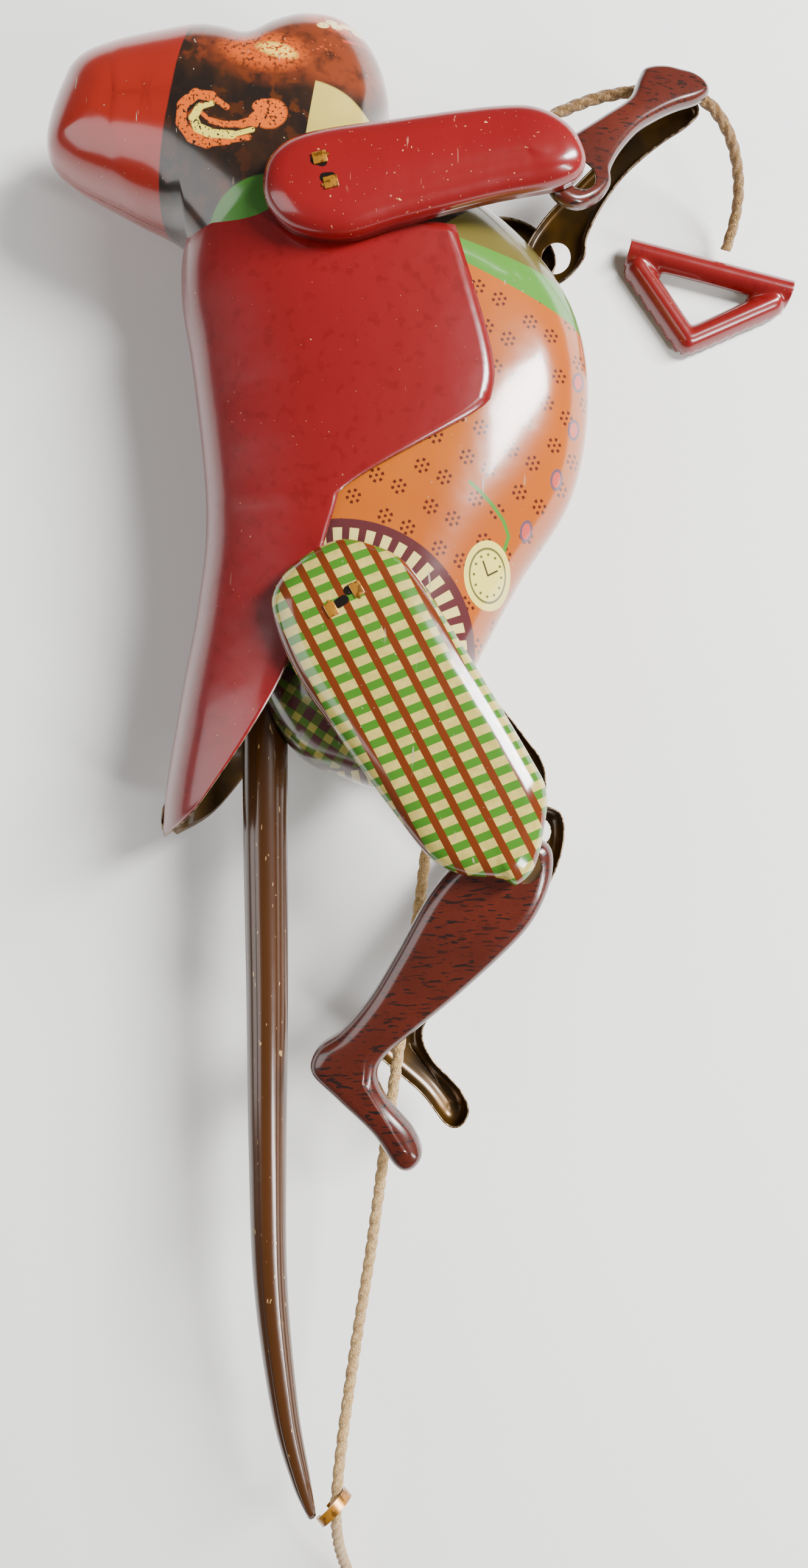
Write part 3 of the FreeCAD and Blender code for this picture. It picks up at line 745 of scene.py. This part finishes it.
def channel(name, outline, spine, base, rise, rounding, crown, outer, wall, sign, hole=None, count=220):
    """A stamped channel: straight flange, rounded shoulder and a slightly crowned web."""
    loop = smooth_loop(outline, count)
    feet = [nearest_on(spine, p) for p in loop]
    rings = [[(p.x, p.y, sign * base) for p in loop]]
    steps = 9
    for step in range(steps + 1):
        angle = math.pi / 2 * step / steps
        inset = rounding * (1 - math.cos(angle))
        level = base + rise * 0.35 + rise * 0.65 * math.sin(angle)
        rings.append([inward(p, f, inset) + (sign * level,) for p, f in zip(loop, feet)])
    top = base + rise
    for share in (0.75, 0.5, 0.3, 0.12):
        ring = []
        for p, f in zip(loop, feet):
            q = Vector(inward(p, f, rounding))
            r = f.lerp(q, share)
            ring.append((r.x, r.y, sign * (top + crown * (1 - share ** 2))))
        rings.append(ring)
    obj = ring_mesh(name, rings)
    if hole:
        punch(obj, hole)
    sheet_metal(obj, outer, wall, sign)
    return obj


def inward(point, foot, inset):
    reach = (point - foot).length
    share = max(0.12, 1 - inset / reach) if reach > 1e-6 else 1.0
    q = foot.lerp(point, share)
    return (q.x, q.y)


def punch(obj, hole):
    """Cut a round hole by dropping the faces inside it and pulling its rim onto the circle."""
    x, y, radius = hole
    centre = Vector((x, y))
    with editing(obj) as mesh:
        bmesh.ops.triangulate(mesh, faces=[f for f in mesh.faces if len(f.verts) > 4])
        near = [f for f in mesh.faces if (f.calc_center_median().xy - centre).length < radius + 3]
        edges = list(dict.fromkeys(e for f in near for e in f.edges))
        bmesh.ops.subdivide_edges(mesh, edges=edges, cuts=3, use_grid_fill=True)
        gone = [f for f in mesh.faces if (f.calc_center_median().xy - centre).length < radius]
        bmesh.ops.delete(mesh, geom=gone, context="FACES")
        for vert in mesh.verts:
            offset = vert.co.xy - centre
            if vert.is_boundary and 0 < offset.length < radius + 1.6 and abs(vert.co.z) > 1e-6:
                vert.co.xy = centre + offset.normalized() * radius


def in_frame(obj, base=Matrix.Identity(4)):
    """Move a piece drawn in millimetres into the row frame."""
    obj.data.transform(Matrix.Translation(HIP) @ Matrix.Scale(MM, 4) @ base)
    obj.data.update()
    return obj


def turned(degrees):
    return Matrix.Rotation(math.radians(degrees), 4, "Z")


def sleeve(side_name, settings):
    sign = SIDES[side_name]
    obj = channel(f"sleeve_{side_name}", SLEEVE_OUTLINE, SLEEVE_SPINE, 23.0, 6.5, 6.0, 0.4, "sleeve",
                  settings.wall / MM, sign)
    return in_frame(obj)


def thigh(side_name, settings):
    sign = SIDES[side_name]
    obj = channel(f"thigh_{side_name}", THIGH_OUTLINE, THIGH_SPINE, 23.0, 6.3, 6.5, 0.6,
                  f"thigh_{side_name}", settings.wall / MM, sign)
    return in_frame(obj, turned(8.0 if sign < 0 else 0.0))


def forearm(side_name, settings):
    sign = SIDES[side_name]
    obj = channel(f"forearm_{side_name}", FOREARM_OUTLINE, FOREARM_SPINE, -3.0, 2.8, 1.8, 0.1, "forearm",
                  settings.wall / MM, 1, hole=(0, 0, 3.6))
    flip = Matrix.Scale(sign, 4, (0, 0, 1))
    lean = Matrix.Rotation(math.radians(sign * 19.6), 4, "Y")
    base = Matrix.Translation((49.5, 91.2, sign * 20.6)) @ turned(43.0) @ lean @ flip
    return unflip(in_frame(obj, base), sign)


def shin(side_name, settings):
    sign = SIDES[side_name]
    obj = channel(f"shin_{side_name}", SHIN_OUTLINE, SHIN_SPINE, -5.0, 4.7, 3.2, 0.2, "shin",
                  settings.wall / MM, 1, hole=(0, 0, 3.6))
    flip = Matrix.Scale(sign, 4, (0, 0, 1))
    lean = Matrix.Rotation(math.radians(sign * 8.0), 4, Vector((0.79, -0.61, 0)))
    at_knee = Matrix.Translation((37.5, -55.0, sign * 22.0))
    twist = turned(8.0 if sign < 0 else 0.0)
    slack = turned(-4.5 if sign < 0 else 0.0)
    return unflip(in_frame(obj, twist @ at_knee @ slack @ lean @ flip), sign)


def unflip(obj, sign):
    """A mirrored mesh gets its faces turned outward again."""
    if sign < 0:
        obj.data.flip_normals()
    return obj


def tongue_tree():
    """Geometry nodes that set one tongue, a plain block, on every point."""
    tree = bpy.data.node_groups.new("folded_tongues", "GeometryNodeTree")
    tree.interface.new_socket("Points", in_out="INPUT", socket_type="NodeSocketGeometry")
    for name in ("Width", "Length", "Thickness", "Turn"):
        tree.interface.new_socket(name, in_out="INPUT", socket_type="NodeSocketFloat")
    tree.interface.new_socket("Metal", in_out="INPUT", socket_type="NodeSocketMaterial")
    tree.interface.new_socket("Tongues", in_out="OUTPUT", socket_type="NodeSocketGeometry")

    def add(kind, **inputs):
        node = tree.nodes.new(kind)
        for name, source in inputs.items():
            tree.links.new(source, node.inputs[name.replace("_", " ")])
        return node

    given = add("NodeGroupInput").outputs
    points = add("GeometryNodeMeshToPoints", Mesh=given["Points"])
    extent = add("ShaderNodeCombineXYZ", X=given["Width"], Y=given["Length"], Z=given["Thickness"])
    turn = add("ShaderNodeCombineXYZ", Z=given["Turn"])
    block = add("GeometryNodeMeshCube", Size=extent.outputs[0])
    placed = add("GeometryNodeInstanceOnPoints", Points=points.outputs[0], Instance=block.outputs[0],
                 Rotation=turn.outputs[0])
    real = add("GeometryNodeRealizeInstances", Geometry=placed.outputs[0])
    coated = add("GeometryNodeSetMaterial", Geometry=real.outputs[0], Material=given["Metal"])
    add("NodeGroupOutput", Tongues=coated.outputs[0])
    return tree


# Heights of the tongues' middles over the middle plane, on the right and on the left limb.
TONGUE_LEVELS = (29.95, -29.75)


def tabs(name, x, y, turn, pitch):
    """Two tongues bent over the outside of each limb, at both ends of its cross tube."""
    points = []
    for level in TONGUE_LEVELS:
        for way in (1, -1):
            offset = turned(turn) @ Vector((way * pitch / 2, way / 2, 0))
            points.append(Vector((x, y, level)) + offset)
    obj = new_piece(name, points, [])
    tongues = obj.modifiers.new("Tongues", "NODES")
    tongues.node_group = tongue_tree()
    values = {"Width": 2.4, "Length": 3.0, "Thickness": 0.5, "Turn": math.radians(turn),
              "Metal": MATERIALS["tab"]}
    for socket in tongues.node_group.interface.items_tree:
        if socket.in_out == "INPUT" and socket.name in values:
            tongues[socket.identifier] = values[socket.name]
    bevel = obj.modifiers.new("Worn corners", "BEVEL")
    bevel.width = 0.2
    bevel.segments = 3
    apply_modifiers(obj)
    obj.data.shade_smooth()
    return in_frame(obj)


# ------------------------------------------------------------------ tail

TAIL = [(-19.5, -10, 5.5), (-19.4, -45, 5.4), (-19.0, -85, 5.05), (-18.9, -122, 4.6), (-18.2, -152, 4.15),
        (-15.0, -180, 3.4), (-11.4, -196, 2.5), (-8.8, -204.6, 1.3)]


def tail():
    """A rolled tube with a lapped seam along its upper side, pinched shut at the tip."""
    line = open_curve([(x, y, r) for x, y, r in TAIL])
    line = even(line, 120)
    rings = []
    for i, p in enumerate(line):
        a, b = line[max(i - 1, 0)], line[min(i + 1, len(line) - 1)]
        along = (b - a).xy.normalized()
        side = Vector((-along.y, along.x))
        ring = []
        for k in range(64):
            angle = 2 * math.pi * k / 64
            lap = 0.28 if 0.98 < angle < 1.9 else 0.0
            radius = p.z - 0.28 + lap
            flat = 0.9 if p.y > -10 else 1.0
            across = radius * math.cos(angle)
            ring.append(place(p.x + side.x * across, p.y + side.y * across, radius * math.sin(angle) * flat))
        rings.append(ring)
    obj = ring_mesh("tail", rings)
    obj.data.materials.append(MATERIALS["tail"])
    outward_volume(obj)
    return obj


def outward_volume(obj):
    """Faces turned outward on a closed piece, shaded smooth."""
    with editing(obj) as mesh:
        bmesh.ops.recalc_face_normals(mesh, faces=mesh.faces)
    obj.data.shade_smooth()


def tail_loop():
    """The strip at the tail's tip, curled into an open ring that guides the string."""
    centre = Vector((-3.9, -203.2, -1.2))
    facing = Vector((1, -1, 0.3)).normalized()
    u = facing.orthogonal().normalized()
    v = facing.cross(u)
    rings = []
    for i in range(61):
        angle = math.radians(20 + 318 * i / 60)
        middle = centre + (u * math.cos(angle) + v * math.sin(angle)) * 4.2
        radial = (middle - centre).normalized()
        half = 1.15 if 3 < i < 57 else 0.8
        section = [(0.32, -half), (0.32, half), (-0.22, half), (-0.22, -half)]
        rings.append([place(*(middle + radial * a + facing * b)) for a, b in section])
    obj = ring_mesh("tail_loop", rings)
    obj.data.materials.append(MATERIALS["tab"])
    outward_volume(obj)
    obj.data.shade_flat()
    return obj


# ------------------------------------------------------------------ string

STRING_UPPER = [
    (44.65, 114.26, 0), (53, 118.2, 0), (63, 120.4, 0), (73, 120.9, 0), (81.5, 119.5, -1), (88.5, 115, -7),
    (92.8, 108.5, -14.5), (94, 101.5, -21.5), (92.2, 95.2, -25),
]
STRING_CHEST = [
    (44.48, 114.16, 0), (33, 107.8, 0), (20.5, 101.9, 0), (8, 97, 0), (-4.4, 94.8, 0), (-11.4, 87.4, 0),
    (-10, 74, 0), (-5, 54, 0), (2, 32, 0),
]
STRING_LEGS = [
    (2.05, 31.8, 0), (10, 8, 0), (16.5, -14, 0), (19, -36, 0), (17, -56, 0), (12.5, -88, 0), (8, -119, 0),
    (6.6, -130, -1.6),
]
STRING_TAIL = [
    (6.59, -130.1, -1.62), (4.8, -144, -3.6), (1.4, -165, -5), (-1.6, -185, -4), (-3.6, -202, -0.6),
    (-3.4, -215, -7), (-2, -227, -17), (0, -238, -25), (2.2, -249, -28.1), (3, -260, -28.5),
]
TWIST_PITCH = 11.0
STRING_END = [(3, -306.6, -19.9), (2.6, -312, -21.5), (3.2, -320, -24.2), (3, -329, -25)]


HANK_AXIS = -5.8
HANK_ENDS = (-269.0, -297.6)
HANK_LAYERS = (-28.5, -25.65, -22.8, -19.95)
OUTER_TURN, INNER_TURN = 8.8, 6.0


def hank_points():
    """Two long turns side by side in each of four layers, wound towards the feet along the front side."""
    points = []
    top, bottom = HANK_ENDS
    for number, level in enumerate(HANK_LAYERS):
        first, second = (OUTER_TURN, INNER_TURN) if number % 2 == 0 else (INNER_TURN, OUTER_TURN)
        for radius, following, lift in ((first, second, 0.0), (second, second, 2.85)):
            lift = lift if number < len(HANK_LAYERS) - 1 else 0.0
            points += [(HANK_AXIS + radius, top - 6, level), (HANK_AXIS + radius, bottom + 6, level)]
            points += fold(bottom, radius, radius, level, level, -1)
            points += [(HANK_AXIS - radius, bottom + 6, level), (HANK_AXIS - radius, top - 6, level)]
            points += fold(top, radius, following, level, level + lift, 1)
    return points


def fold(end, radius, following, level, next_level, way):
    """The control points round one end of the hank; the turn may widen, narrow or climb there."""
    points = []
    for step in range(5):
        share = step / 4
        angle = math.pi * share
        reach = radius + (following - radius) * share
        points.append((HANK_AXIS - way * reach * math.cos(angle),
                       end + way * 1.06 * reach * math.sin(angle),
                       level + (next_level - level) * share))
    return points


def centre_line(name, points):
    """The smooth line of a limp string over its route's points, as points close together."""
    curve = bpy.data.curves.new(name, "CURVE")
    curve.dimensions = "3D"
    curve.resolution_u = 24
    spline = curve.splines.new("NURBS")
    spline.points.add(len(points) - 1)
    for knot, point in zip(spline.points, points):
        knot.co = (*place(*point), 1.0)
    spline.order_u = 3
    spline.use_endpoint_u = True
    obj = bpy.data.objects.new(name, curve)
    mesh = bpy.data.meshes.new_from_object(obj)
    line = [vertex.co.copy() for vertex in mesh.vertices]
    bpy.data.objects.remove(obj)
    bpy.data.curves.remove(curve)
    bpy.data.meshes.remove(mesh)
    return line


def twine(name, points, settings):
    """A three-strand twisted string that follows its route."""
    line = centre_line(f"{name}_route", points)
    line = even(line, max(8, int(path_length(line) / (0.42 * MM))))
    radius = settings.string_width / 2
    rings = []
    normal = Vector((0, 0, 1))
    twist = 0.0
    for i, p in enumerate(line):
        along = (line[min(i + 1, len(line) - 1)] - line[max(i - 1, 0)]).normalized()
        normal = (normal - along * normal.dot(along)).normalized()
        side = along.cross(normal)
        twist += 2 * math.pi * 0.42 / TWIST_PITCH
        ring = []
        for k in range(18):
            angle = 2 * math.pi * k / 18
            lobe = abs(math.sin(1.5 * (angle - twist)))
            fluff = 0.05 * noise.noise(Vector((i * 0.35, k * 1.3, len(name))))
            r = radius * (0.66 + 0.32 * lobe ** 0.7 + fluff)
            ring.append(p + (normal * math.cos(angle) + side * math.sin(angle)) * r)
        rings.append(ring)
    obj = ring_mesh(name, rings)
    close_start(obj, 18)
    obj.data.materials.append(MATERIALS["jute"])
    outward_volume(obj)
    return obj, line


def close_start(obj, count):
    """Cap the first ring of a tube."""
    with editing(obj) as mesh:
        mesh.verts.ensure_lookup_table()
        mesh.faces.new([mesh.verts[k] for k in reversed(range(count))])


def path_length(route):
    return sum((b - a).length for a, b in zip(route, route[1:]))


def hank_tie(settings):
    """A single turn of the same string around the hank."""
    points = []
    for step in range(17):
        angle = 2 * math.pi * step / 16
        across = math.copysign(abs(math.cos(angle)) ** 0.5, math.cos(angle))
        up = math.copysign(abs(math.sin(angle)) ** 0.5, math.sin(angle))
        level = max(-28.5, -23.5 + 5.9 * up)
        points.append((HANK_AXIS + 11.0 * across, -283.3 + 0.6 * math.sin(angle), level))
    return twine("hank_tie", points, settings)[0]


# ------------------------------------------------------------------ pull handles

# The handle's ridges: both ends of each, its half width and its height. The first is the bar.
HANDLE_RIDGES = [((-21.2, -3.7), (21.2, -3.7), 3.75, 6.6), ((-17.4, -7.2), (-0.8, -21.6), 3.6, 6.0),
                 ((-0.8, -21.6), (17.4, -7.2), 3.6, 6.0)]
HANDLE_CORNER = Vector((-22, -26))
HANDLE_SPAN = (44, 27)
HANDLE_STEP = 0.45
BAR_END = 21.3


def handle_level(p):
    """Height of the handle over the table at a point of its plan, or 0 beside it."""
    level = 0.0
    for start, end, half, high in HANDLE_RIDGES:
        limit = BAR_END if start[1] == end[1] else BAR_END + 0.1
        reach = (p - nearest_on([start, end], p)).length / half
        if abs(p.x) <= limit and reach < 1:
            level = max(level, high * math.sqrt(1 - reach * reach)) + 0.02
    return level


def handle(name, x, y, turn):
    """A red tin pull handle: a half-round bar with a V-shaped finger grip, pressed as one piece."""
    columns, rows = [int(span / HANDLE_STEP) for span in HANDLE_SPAN]
    plan = {(i, j): HANDLE_CORNER + Vector((i, j)) * HANDLE_STEP for i in range(columns) for j in range(rows)}
    levels = {key: handle_level(p) for key, p in plan.items()}
    vertices = []
    numbers = {}
    faces = []
    for i in range(columns - 1):
        for j in range(rows - 1):
            cell = [(i, j), (i + 1, j), (i + 1, j + 1), (i, j + 1)]
            if sum(levels[corner] > 0 for corner in cell) < 3:
                continue
            for corner in cell:
                if corner not in numbers:
                    numbers[corner] = len(vertices)
                    vertices.append((*plan[corner], levels[corner]))
            faces.append([numbers[corner] for corner in cell])
    obj = new_piece(name, vertices, faces)
    with editing(obj) as mesh:
        for _ in range(3):
            bmesh.ops.smooth_vert(mesh, verts=mesh.verts, factor=0.5,
                                  use_axis_x=True, use_axis_y=True, use_axis_z=True)
    sheet_metal(obj, "handle", 0.5, 1)
    return in_frame(obj, Matrix.Translation((x, y, -30)) @ turned(turn))


# ------------------------------------------------------------------ operators

class PieceOperator:
    bl_options = {"REGISTER", "UNDO"}

    @property
    def tin(self):
        return bpy.context.scene.tin_monkey


class TINMONKEY_OT_materials(PieceOperator, bpy.types.Operator):
    """Make the prints and lacquers"""
    bl_idname = "tinmonkey.materials"
    bl_label = "Inks and lacquers"

    def execute(self, context):
        make_materials(context.scene.tin_monkey_inks)
        return {"FINISHED"}


class TINMONKEY_OT_body(PieceOperator, bpy.types.Operator):
    """Press the body shells and the tail coat"""
    bl_idname = "tinmonkey.body"
    bl_label = "Body and coat"

    def execute(self, context):
        for side_name in SIDES:
            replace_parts(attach(body_shell(side_name, self.tin), "trunk"), f"body_shell_{side_name}")
            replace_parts(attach(coat_half(side_name, self.tin), "trunk"), f"coat_{side_name}")
        return {"FINISHED"}


class TINMONKEY_OT_limbs(PieceOperator, bpy.types.Operator):
    """Press the arms and the legs"""
    bl_idname = "tinmonkey.limbs"
    bl_label = "Arms and legs"

    def execute(self, context):
        for side_name in SIDES:
            for make, body in ((sleeve, "arms"), (forearm, "arms"), (thigh, "legs"), (shin, "legs")):
                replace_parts(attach(make(side_name, self.tin), body), f"{make.__name__}_{side_name}")
        shoulder = (SHOULDER - HIP) / MM
        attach(tabs("shoulder_tabs", shoulder.x, shoulder.y, 104, 5.4), "arms")
        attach(tabs("hip_tabs", 0, 0, 30, 6.6), "legs")
        for node, key in (("shoulder_tube", "tab"), ("hip_tube", "tab"), ("hip_lever", "steel"),
                          ("return_spring", "steel"), ("spring_anchor_pin", "steel")):
            for material_slot in frame["nodes"][node].material_slots:
                material_slot.material = MATERIALS[key]
        return {"FINISHED"}


class TINMONKEY_OT_tail(PieceOperator, bpy.types.Operator):
    """Roll the tail and curl its loop"""
    bl_idname = "tinmonkey.tail"
    bl_label = "Tail"

    def execute(self, context):
        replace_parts(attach(tail(), "trunk"), "tail")
        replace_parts(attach(tail_loop(), "trunk"), "tail_loop")
        return {"FINISHED"}


class TINMONKEY_OT_string(PieceOperator, bpy.types.Operator):
    """Lay the string, its hank and the tie"""
    bl_idname = "tinmonkey.string"
    bl_label = "String"

    def execute(self, context):
        upper, path = twine("string_upper", STRING_UPPER, self.tin)
        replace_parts(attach(upper, "arms"), "string_upper")
        chest, path = twine("string_chest", STRING_CHEST, self.tin)
        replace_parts(chest, "string_middle")
        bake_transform(chest)
        legs, path = twine("string_legs", STRING_LEGS, self.tin)
        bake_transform(legs)
        rest, path = twine("string_lower", STRING_TAIL + hank_points() + STRING_END, self.tin)
        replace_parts(rest, "string_lower", "string_hank", "string_end")
        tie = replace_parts(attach(hank_tie(self.tin), "trunk"), "hank_tie")
        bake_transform(rest)
        return {"FINISHED"}


class TINMONKEY_OT_handles(PieceOperator, bpy.types.Operator):
    """Press the two pull handles"""
    bl_idname = "tinmonkey.handles"
    bl_label = "Pull handles"

    def execute(self, context):
        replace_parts(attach(handle("handle_upper", 89.4, 94.2, -14.6), "arms"), "handle_upper")
        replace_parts(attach(handle("handle_lower", 3.0, -329.6, 0.0), "trunk"), "handle_lower")
        return {"FINISHED"}


class TINMONKEY_OT_stage(PieceOperator, bpy.types.Operator):
    """Set up the table, the lights and the camera"""
    bl_idname = "tinmonkey.stage"
    bl_label = "Stage"

    def execute(self, context):
        table = bpy.data.meshes.new("table")
        table.from_pydata([(-3, -3, -0.0002), (3, -3, -0.0002), (3, 3, -0.0002), (-3, 3, -0.0002)], [],
                          [(0, 1, 2, 3)])
        table_obj = bpy.data.objects.new("table", table)
        context.collection.objects.link(table_obj)
        white = bpy.data.materials.new("white_table_top")
        white.use_nodes = True
        white.node_tree.nodes["Principled BSDF"].inputs["Base Color"].default_value = linear("F2F1EE")
        white.node_tree.nodes["Principled BSDF"].inputs["Roughness"].default_value = 0.7
        table.materials.append(white)
        for name, at, size, power in (("window", (0.62, 0.42, 0.72), (0.22, 0.55), 30.0),
                                      ("door", (0.7, -0.4, 0.7), (0.12, 0.6), 9.0),
                                      ("wall", (-0.8, 0.0, 0.6), (0.6, 0.9), 5.0)):
            lamp = bpy.data.lights.new(name, "AREA")
            lamp.shape = "RECTANGLE"
            lamp.size, lamp.size_y = size
            lamp.energy = power
            obj = bpy.data.objects.new(name, lamp)
            obj.location = at
            obj.rotation_euler = (-Vector(at)).to_track_quat("-Z", "Y").to_euler()
            context.collection.objects.link(obj)
        world = bpy.data.worlds.new("studio")
        world.use_nodes = True
        world.node_tree.nodes["Background"].inputs["Color"].default_value = linear("F4F4F2")
        world.node_tree.nodes["Background"].inputs["Strength"].default_value = 0.14
        context.scene.world = world
        lens = bpy.data.cameras.new("camera")
        lens.lens = 27.67
        lens.sensor_width = 36.0
        camera = bpy.data.objects.new("camera", lens)
        camera.location = place(12.2, -37.6, 275.0)
        context.collection.objects.link(camera)
        context.scene.camera = camera
        return {"FINISHED"}


class TINMONKEY_PT_panel(bpy.types.Panel):
    """Sidebar panel that builds the toy piece by piece"""
    bl_label = "Tin Monkey"
    bl_idname = "TINMONKEY_PT_panel"
    bl_space_type = "VIEW_3D"
    bl_region_type = "UI"
    bl_category = "Tin Monkey"

    def draw(self, context):
        for step in STEPS:
            self.layout.operator(f"tinmonkey.{step}")


STEPS = ("materials", "body", "limbs", "tail", "string", "handles", "stage")
CLASSES = (TinSettings, ColourSettings, TINMONKEY_OT_materials, TINMONKEY_OT_body, TINMONKEY_OT_limbs,
           TINMONKEY_OT_tail, TINMONKEY_OT_string, TINMONKEY_OT_handles, TINMONKEY_OT_stage,
           TINMONKEY_PT_panel)


def register():
    for cls in CLASSES:
        bpy.utils.register_class(cls)
    bpy.types.Scene.tin_monkey = bpy.props.PointerProperty(type=TinSettings)
    bpy.types.Scene.tin_monkey_inks = bpy.props.PointerProperty(type=ColourSettings)


def unregister():
    del bpy.types.Scene.tin_monkey_inks
    del bpy.types.Scene.tin_monkey
    for cls in reversed(CLASSES):
        bpy.utils.unregister_class(cls)


def main():
    register()
    for step in STEPS:
        getattr(bpy.ops.tinmonkey, step)()


if __name__ == "__main__":
    main()
